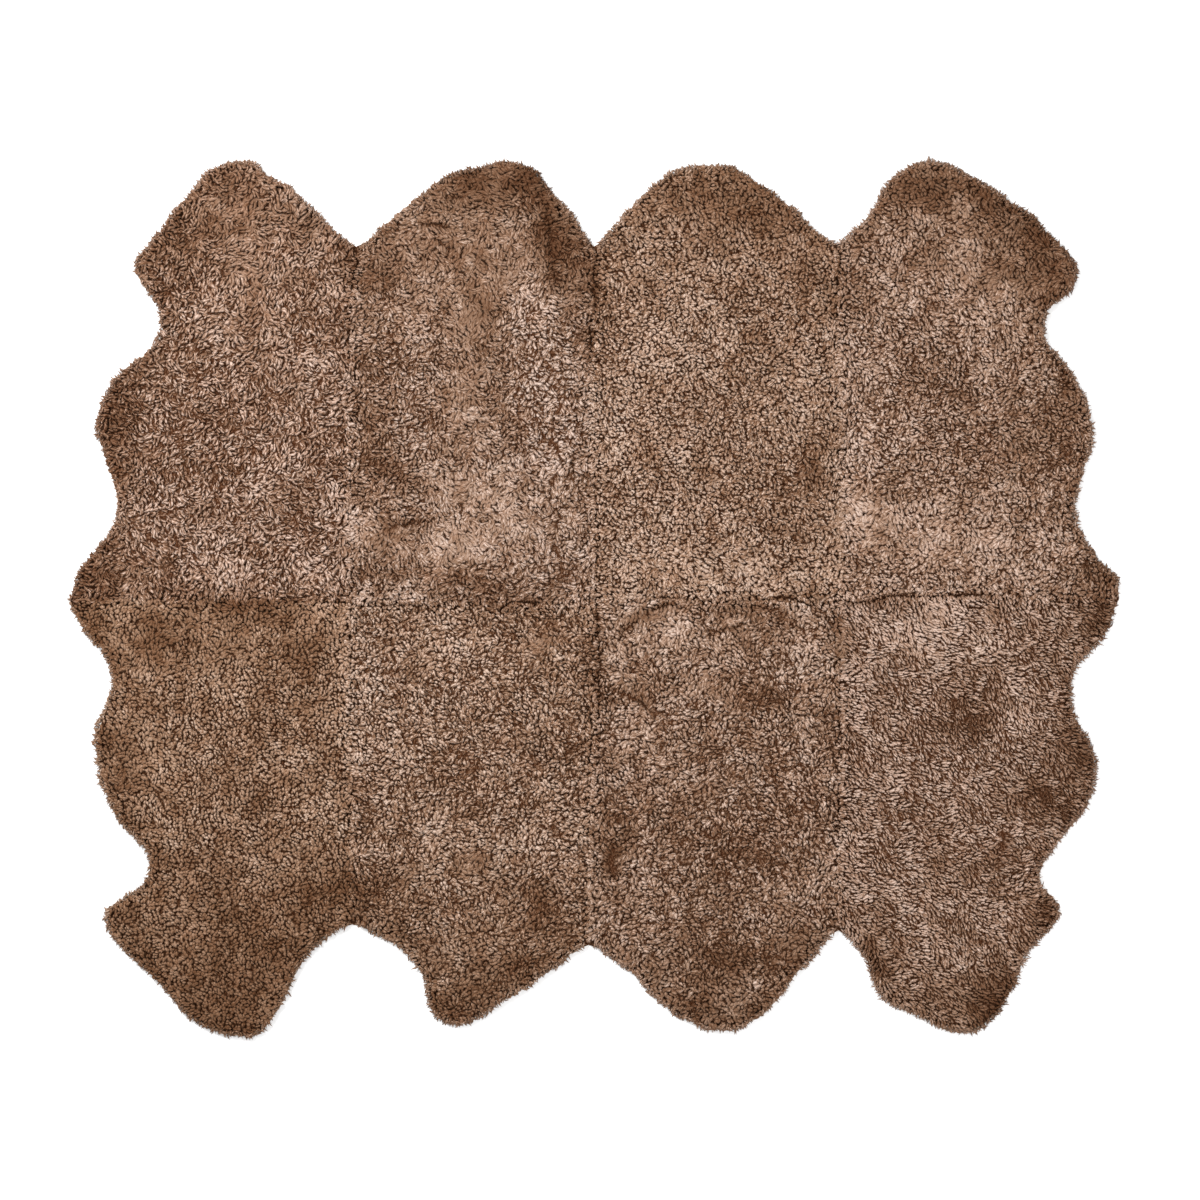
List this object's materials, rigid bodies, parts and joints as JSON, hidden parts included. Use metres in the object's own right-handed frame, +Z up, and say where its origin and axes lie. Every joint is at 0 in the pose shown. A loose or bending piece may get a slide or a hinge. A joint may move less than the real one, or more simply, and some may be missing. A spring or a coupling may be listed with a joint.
{
  "type": "lambskin rug",
  "caption": "Flat floor rug of brown lambskins with short curly wool, sewn edge to edge in two rows, with rounded necks and leg stubs round the outline.",
  "frame": {"origin": "on the floor under the middle of the rug's box", "axes": "+X along the rows of pelts, to the right in the view from above; +Y along the pelts, away; +Z up out of the wool"},
  "size_m": [2.2086, 1.8634, 0.0294],
  "materials": {
    "wool": "matte curly wool",
    "hide": "bare suede"
  },
  "bodies": {
    "root": {"pelt_far_1": "wool", "pelt_far_2": "wool", "pelt_far_3": "wool", "pelt_far_4": "wool", "pelt_near_1": "wool", "pelt_near_2": "wool", "pelt_near_3": "wool", "pelt_near_4": "wool"}
  },
  "joints": []
}
